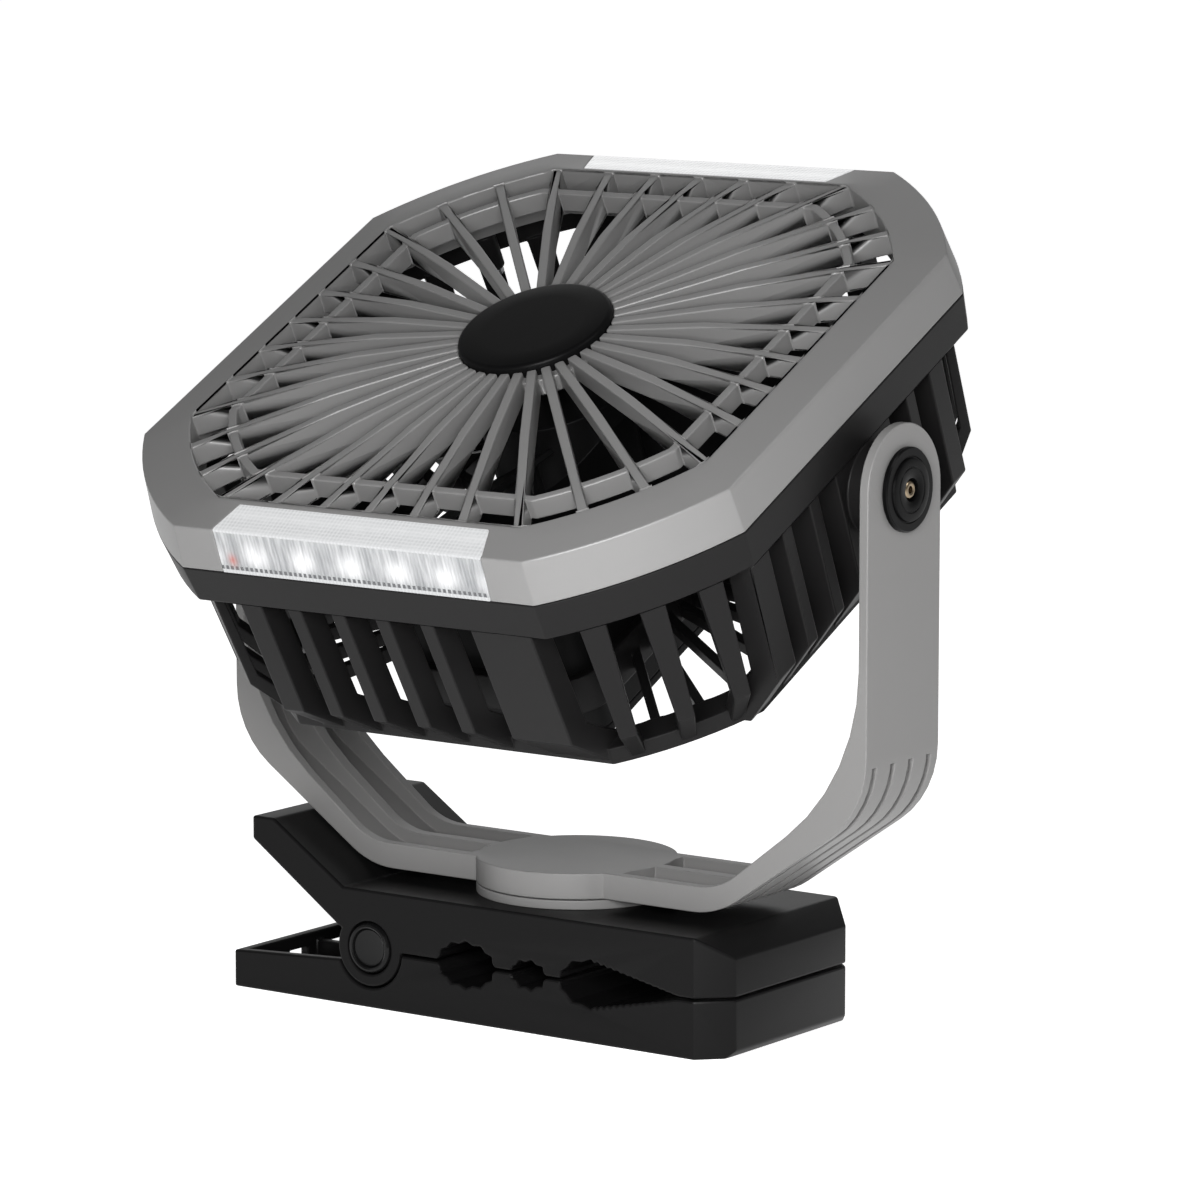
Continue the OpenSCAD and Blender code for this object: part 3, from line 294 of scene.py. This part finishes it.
wire_line = [coil_point(first_turn) - coil_way(first_turn) * leg]
wire_line += [coil_point(first_turn + (last_turn - first_turn) * i / coil_steps)
              for i in range(coil_steps + 1)]
wire_line += [coil_point(last_turn) + coil_way(last_turn) * leg]
wire = bpy.data.curves.new("wound_spring", "CURVE")
wire.dimensions = "3D"
wire.bevel_depth = wire_r
wire.bevel_resolution = 4
wire.use_fill_caps = True
strand = wire.splines.new("POLY")
strand.points.add(len(wire_line) - 1)
for point, spot in zip(strand.points, wire_line):
    point.co = (*spot, 1)
wire_form = bpy.data.objects.new("wire_form", wire)
scene.collection.objects.link(wire_form)
bpy.context.view_layer.update()
spring_mesh = bpy.data.meshes.new_from_object(
    wire_form.evaluated_get(bpy.context.evaluated_depsgraph_get()))
bpy.data.objects.remove(wire_form)
spring_mesh.materials.clear()
spring_mesh.materials.append(spring_steel)
spring_mesh.shade_smooth()
wound_spring = bpy.data.objects.new("wound_spring", spring_mesh)
scene.collection.objects.link(wound_spring)
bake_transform(wound_spring)
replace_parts(wound_spring, "clip_spring")

# Upper clip half: the matching black moulding with the squeeze handle, the outer ears
# and the plate that the turntable stands on.
moulded("upper_jaw", "upper_clip_half", clip_black, "upper_clip", 0.0006)

# Turntable ring and washer: a pale grey ring fixed to the plate, and the steel washer
# under it that the swivel bolt bears on.
pale_grey = satin("pale_grey", (0.13, 0.1285, 0.127), 0.46, shade=0.08, specular=0.28)
moulded("turntable_ring", "turntable_ring_round", pale_grey, "upper_clip", 0.0003)
washer_steel = satin("washer_steel", (0.5, 0.51, 0.53), 0.32, grain=700.0, metal=1.0)
dress("swivel_washer", washer_steel)

# Yoke: one pale grey moulding, disc, channelled bends and flat arms together.
# The brass insert in its disc takes the swivel bolt, and nylon washers sit at the arms.
moulded("yoke", "yoke_frame", pale_grey, "yoke", 0.0003)
insert_brass = satin("insert_brass", (0.62, 0.44, 0.18), 0.3, grain=800.0, metal=1.0)
dress("swivel_bolt", washer_steel)
dress("swivel_insert", insert_brass)
washer_nylon = satin("washer_nylon", (0.66, 0.65, 0.6), 0.5)
dress("tilt_washers", washer_nylon)

# Bezel and grille: one satin grey moulding, ribs, ring and rim together,
# screwed to the cage from behind.
bezel_grey = satin("bezel_grey", (0.12, 0.119, 0.118), 0.4, shade=0.1)
moulded("front_grille", "bezel_grille", bezel_grey, "head", 0.0004)

# Hub badge: a plain black plastic disc with a soft edge,
# pressed into the middle of the grille.
head_tilt = math.radians(27)
head_height = 0.1498
head_centre = Vector((0, 0, head_height))
head_axis = Vector((0, -math.sin(head_tilt), math.cos(head_tilt)))
badge_black = satin("badge_black", (0.0018, 0.0018, 0.0019), 0.38, specular=0.05)
badge_r, badge_foot, badge_face = 0.0212, 0.0386, 0.0426
badge_profile = [(0.0, badge_foot), (badge_r, badge_foot), (badge_r, 0.0415), (0.0210, 0.0420),
                 (0.0206, 0.04235), (0.0200, 0.0425), (0.0140, 0.04257), (0.0070, badge_face),
                 (0.0, badge_face)]
hub_disc = place_piece("hub_disc", turned(badge_profile, head_centre, head_axis, 96), badge_black,
                       "head")
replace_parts(flat_steps(hub_disc, 50), "hub_badge")


# Lamp lenses: clear bent covers with prisms moulded in, dotted on top and fluted on the
# wall, clipped into the bezel over the lamp boards.
def lens_finish():
    """Clear plastic with flutes, dots, a toothed line and a red mark; its emission paints the glow of the
    five lamps behind it, light streaks, a brighter upper wall, a lit dotted top and a bright lower rim,
    and its flutes are painted as faint light and dark stripes in its colour.
    """
    wall_foot, wall_ridge, teeth_top = 0.0247, 0.0354, 0.0258
    flute_pitch, tooth_pitch = 0.0011, 0.0016
    lamp_half_pitch, lamp_level, glow_across, glow_up = 0.00764, 0.0288, 0.0048, 0.0042
    mark_across, mark_level, mark_half_wide, mark_half_high = 0.0388, 0.0275, 0.0013, 0.0016
    finish = bpy.data.materials.new("lens_clear")
    finish.use_nodes = True
    made, link = finish.node_tree.nodes, finish.node_tree.links
    shader = made["Principled BSDF"]
    place = made.new("ShaderNodeTexCoord")
    turn = made.new("ShaderNodeMapping")
    turn.inputs["Rotation"].default_value = (-head_tilt, 0, 0)
    turn.inputs["Location"].default_value = (0, -head_height * math.sin(head_tilt),
                                             -head_height * math.cos(head_tilt))
    link.new(place.outputs["Object"], turn.inputs["Vector"])
    split = made.new("ShaderNodeSeparateXYZ")
    link.new(turn.outputs["Vector"], split.inputs[0])

    def sum_of(operation, first, second, third=None):
        """One step of arithmetic on links or plain numbers."""
        step = made.new("ShaderNodeMath")
        step.operation = operation
        for socket, value in zip(step.inputs, (first, second, third)):
            if value is None:
                continue
            if isinstance(value, (int, float)):
                socket.default_value = value
            else:
                link.new(value, socket)
        return step.outputs[0]

    def soft_spot(aside, above, fade):
        """Full at its middle and fading evenly round it."""
        reach = sum_of("ADD", sum_of("MULTIPLY", aside, aside), sum_of("MULTIPLY", above, above))
        return sum_of("POWER", math.e, sum_of("MULTIPLY", reach, fade))

    across_p, level = split.outputs["X"], split.outputs["Z"]
    flutes = sum_of("SINE", sum_of("MULTIPLY", across_p, math.tau / flute_pitch), 0)
    dots = made.new("ShaderNodeTexVoronoi")
    dots.inputs["Scale"].default_value = 850
    dots.inputs["Randomness"].default_value = 0.15
    link.new(turn.outputs["Vector"], dots.inputs["Vector"])
    on_top = sum_of("GREATER_THAN", level, wall_ridge)
    relief = made.new("ShaderNodeMix")
    link.new(on_top, relief.inputs["Factor"])
    link.new(flutes, relief.inputs[2])
    link.new(dots.outputs["Distance"], relief.inputs[3])
    bump = made.new("ShaderNodeBump")
    bump.inputs["Strength"].default_value = 0.5
    bump.inputs["Distance"].default_value = 0.0002
    link.new(relief.outputs[0], bump.inputs["Height"])
    link.new(bump.outputs["Normal"], shader.inputs["Normal"])

    # Painted light in the lens's emission: the glow of the lamps behind it, light streaks, a wall
    # brighter towards its top, a lit dotted top and a bright lower rim.
    lamp_aside = sum_of("DIVIDE", sum_of("PINGPONG", across_p, lamp_half_pitch), glow_across)
    lamp_above = sum_of("DIVIDE", sum_of("SUBTRACT", level, lamp_level), glow_up)
    glow = soft_spot(lamp_aside, lamp_above, -1.5)
    streaks = made.new("ShaderNodeTexNoise")
    streaks.inputs["Scale"].default_value = 1.0
    streaks.inputs["Detail"].default_value = 4
    stretch = made.new("ShaderNodeMapping")
    stretch.inputs["Rotation"].default_value = (0, math.radians(-28), 0)
    stretch.inputs["Scale"].default_value = (900, 120, 120)
    link.new(turn.outputs["Vector"], stretch.inputs["Vector"])
    link.new(stretch.outputs["Vector"], streaks.inputs["Vector"])
    veil = sum_of("MAXIMUM", sum_of("MULTIPLY_ADD", streaks.outputs["Fac"], 1.2, -0.42), 0.02)
    height = sum_of("DIVIDE", sum_of("SUBTRACT", level, wall_foot), wall_ridge - wall_foot)
    wall_light = sum_of("ADD", sum_of("MULTIPLY", glow, 0.9), sum_of("MULTIPLY_ADD", height, 0.2, veil))
    top_light = sum_of("MULTIPLY_ADD", dots.outputs["Distance"], 0.4, 0.52)
    light = made.new("ShaderNodeMix")
    link.new(on_top, light.inputs["Factor"])
    link.new(wall_light, light.inputs[2])
    link.new(top_light, light.inputs[3])
    tooth_sine = sum_of("SINE", sum_of("MULTIPLY", across_p, math.tau / tooth_pitch), 0)
    tooth_wave = sum_of("GREATER_THAN", tooth_sine, -0.3)
    tooth_row = sum_of("MULTIPLY", sum_of("LESS_THAN", level, teeth_top),
                       sum_of("GREATER_THAN", level, wall_foot))
    clear = sum_of("SUBTRACT", 1.0, sum_of("MULTIPLY", tooth_wave, tooth_row))
    rim = sum_of("LESS_THAN", level, wall_foot)
    lit = made.new("ShaderNodeValToRGB")
    lit.color_ramp.elements[0].color = (0.1, 0.105, 0.11, 1)
    lit.color_ramp.elements[1].color = (1, 1, 1, 1)
    link.new(sum_of("MAXIMUM", sum_of("MULTIPLY", light.outputs[0], clear), sum_of("MULTIPLY", rim, 0.6)),
             lit.inputs["Fac"])
    mark_aside = sum_of("DIVIDE", sum_of("ADD", across_p, mark_across), mark_half_wide)
    mark_above = sum_of("DIVIDE", sum_of("SUBTRACT", level, mark_level), mark_half_high)
    mark = sum_of("MULTIPLY", soft_spot(mark_aside, mark_above, -1.0),
                  sum_of("LESS_THAN", split.outputs["Y"], 0))
    red_mark = made.new("ShaderNodeMix")
    red_mark.data_type = "RGBA"
    red_mark.inputs[7].default_value = (0.55, 0.06, 0.02, 1)
    link.new(mark, red_mark.inputs["Factor"])
    link.new(lit.outputs["Color"], red_mark.inputs[6])
    link.new(red_mark.outputs[2], shader.inputs["Emission Color"])
    # The flutes also stripe the base colour lighter and darker: painted shading of their ridges.
    tone = made.new("ShaderNodeValToRGB")
    tone.color_ramp.elements[0].color = (0.02, 0.02, 0.022, 1)
    tone.color_ramp.elements[1].color = (0.12, 0.125, 0.13, 1)
    link.new(sum_of("MULTIPLY", clear, sum_of("MULTIPLY_ADD", flutes, 0.12, 0.85)), tone.inputs["Fac"])
    link.new(tone.outputs["Color"], shader.inputs["Base Color"])
    shader.inputs["Emission Strength"].default_value = 0.7
    shader.inputs["Roughness"].default_value = 0.2
    shader.inputs["Transmission Weight"].default_value = 0.2
    shader.inputs["IOR"].default_value = 1.49
    return finish


lens_clear = lens_finish()
moulded("lamp_lens_lower", "lower_lens", lens_clear, "head", 0.00015)
moulded("lamp_lens_upper", "upper_lens", lens_clear, "head", 0.00015)

# Lamp boards and lamps: white boards behind each lens with five bright chips,
# stood on the rim of the opening.
board_white = satin("board_white", (0.82, 0.82, 0.8), 0.35)
dress("led_board_lower", board_white)
dress("led_board_upper", board_white)
chip_light = satin("chip_light", (0.95, 0.88, 0.6), 0.3)
chip_shader = chip_light.node_tree.nodes["Principled BSDF"]
chip_shader.inputs["Emission Color"].default_value = (1, 0.97, 0.88, 1)
chip_shader.inputs["Emission Strength"].default_value = 4.0
dress("led_chips_lower", chip_light)
dress("led_chips_upper", chip_light)

# Cage: the black rear moulding, band, fins, rear ring and bars together,
# with the trunnions that tilt in the yoke.
cage_black = satin("cage_black", (0.0058, 0.0056, 0.0057), 0.45, specular=0.09)
moulded("rear_cage", "cage_frame", cage_black, "head", 0.0004)
screw_steel = satin("screw_steel", (0.45, 0.46, 0.48), 0.3, grain=900.0, metal=1.0)
dress("grille_screws", screw_steel)

# Pivot caps: black moulded caps with two shallow steps and a hole, held on the trunnions
# by a brass socket screw each.
cap_black = satin("cap_black", (0.0016, 0.0016, 0.0017), 0.3, specular=0.07)
cap_r, cap_face, cap_hole_r = 0.0111, 0.0020, 0.0013
cap_profile = [(cap_hole_r, 0.0), (cap_r, 0.0), (cap_r, 0.0010), (0.0107, 0.0014), (0.0088, 0.0014),
               (0.0086, 0.0012), (0.0084, 0.0012), (0.0082, 0.0019), (0.0079, cap_face),
               (0.0062, cap_face), (0.0060, 0.0018), (0.0058, 0.0018), (0.0056, cap_face),
               (0.0034, cap_face), (0.0031, 0.0018), (0.0030, 0.0006), (cap_hole_r, 0.0006),
               (cap_hole_r, 0.0)]
cap_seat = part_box("pivot_cap_right")[0][0]
for side, node, name in ((-1, "pivot_cap_left", "left_cap"), (1, "pivot_cap_right", "right_cap")):
    cap_place = head_centre + Vector((side * cap_seat, 0, 0))
    cap = place_piece(name, turned(cap_profile, cap_place, (side, 0, 0), 80), cap_black,
                      "head")
    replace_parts(flat_steps(cap), node)
# The brass is given a dark, dull colour: painted shade of the deep hole that the screw sits in, so that
# only a small glint shows.
screw_brass = satin("screw_brass", (0.24, 0.19, 0.13), 0.26, grain=700.0, metal=1.0)
screw_profile = [(0.0, 0.1046), (0.0009, 0.1046), (0.0010, 0.1059), (0.0013, 0.1061), (0.0018, 0.1061),
                 (0.0023, 0.1058), (0.0026, 0.1053), (0.0026, 0.1051), (0.0012, 0.1051), (0.0012, 0.0936),
                 (0.0, 0.0936)]
screw_bm = turned(screw_profile, head_centre, (1, 0, 0), 40)
bmesh.ops.mirror(screw_bm, geom=screw_bm.verts[:] + screw_bm.edges[:] + screw_bm.faces[:],
                 matrix=Matrix.Identity(4), merge_dist=0, axis="X")
bmesh.ops.recalc_face_normals(screw_bm, faces=screw_bm.faces)
pivot_pair = place_piece("pivot_pair", screw_bm, screw_brass, "head")
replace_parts(flat_steps(pivot_pair), "pivot_screws")

# Rear box: a black rounded box in the cage's collar with a screwed cover. Inside are the
# cells in their tray, the board with its switches and the charging socket.
pod_black = satin("pod_black", (0.003, 0.003, 0.0031), 0.55, specular=0.08)
moulded("rear_pod", "pod_box", pod_black, "head", 0.0004)
moulded("pod_cover", "pod_lid", pod_black, "head", 0.0004)
dress("pod_screws", screw_steel)
board_green = satin("board_green", (0.02, 0.14, 0.06), 0.35, grain=500.0, shade=0.3)
dress("circuit_board", board_green)
cell_blue = satin("cell_blue", (0.03, 0.14, 0.3), 0.3)
dress("battery_cells", cell_blue)
dress("battery_tray", pod_black)
dress("tact_switches", washer_nylon)
dress("usb_socket", washer_steel)
plug_rubber = satin("plug_rubber", (0.016, 0.016, 0.0165), 0.7, grain=1600.0, depth=0.00004)
moulded("port_plug", "charge_plug", plug_rubber, "head", 0.0004)

# Motor: brass bearing tube with two ball bearings, the wound stator, and the steel shaft
# and magnet cup that turn with the impeller.
winding_copper = satin("winding_copper", (0.42, 0.2, 0.09), 0.35, grain=1200.0, shade=0.3, metal=1.0)
dress("bearing_tube", insert_brass)
dress("motor_bearings", washer_steel)
dress("motor_stator", winding_copper)
dress("motor_shaft", screw_steel)
dress("rotor_cup", washer_steel)

# Impeller: a black moulding of hub and pitched blades,
# held on the shaft by a black plastic nut.
blade_black = satin("blade_black", (0.0025, 0.0025, 0.0026), 0.5, specular=0.06)
moulded("impeller", "impeller_blades", blade_black, "rotor", 0.0004)
moulded("spinner_nut", "shaft_nut", blade_black, "rotor", 0.0003)

# Push buttons: grey moulded caps in the pod cover, one for the fan and one for the lamps.
# Each slides in its own hole over a switch on the board.
button_grey = satin("button_grey", (0.12, 0.12, 0.12), 0.42)
moulded("fan_button", "fan_key", button_grey, "fan_button", 0.0003)
moulded("light_button", "lamp_key", button_grey, "light_button", 0.0003)
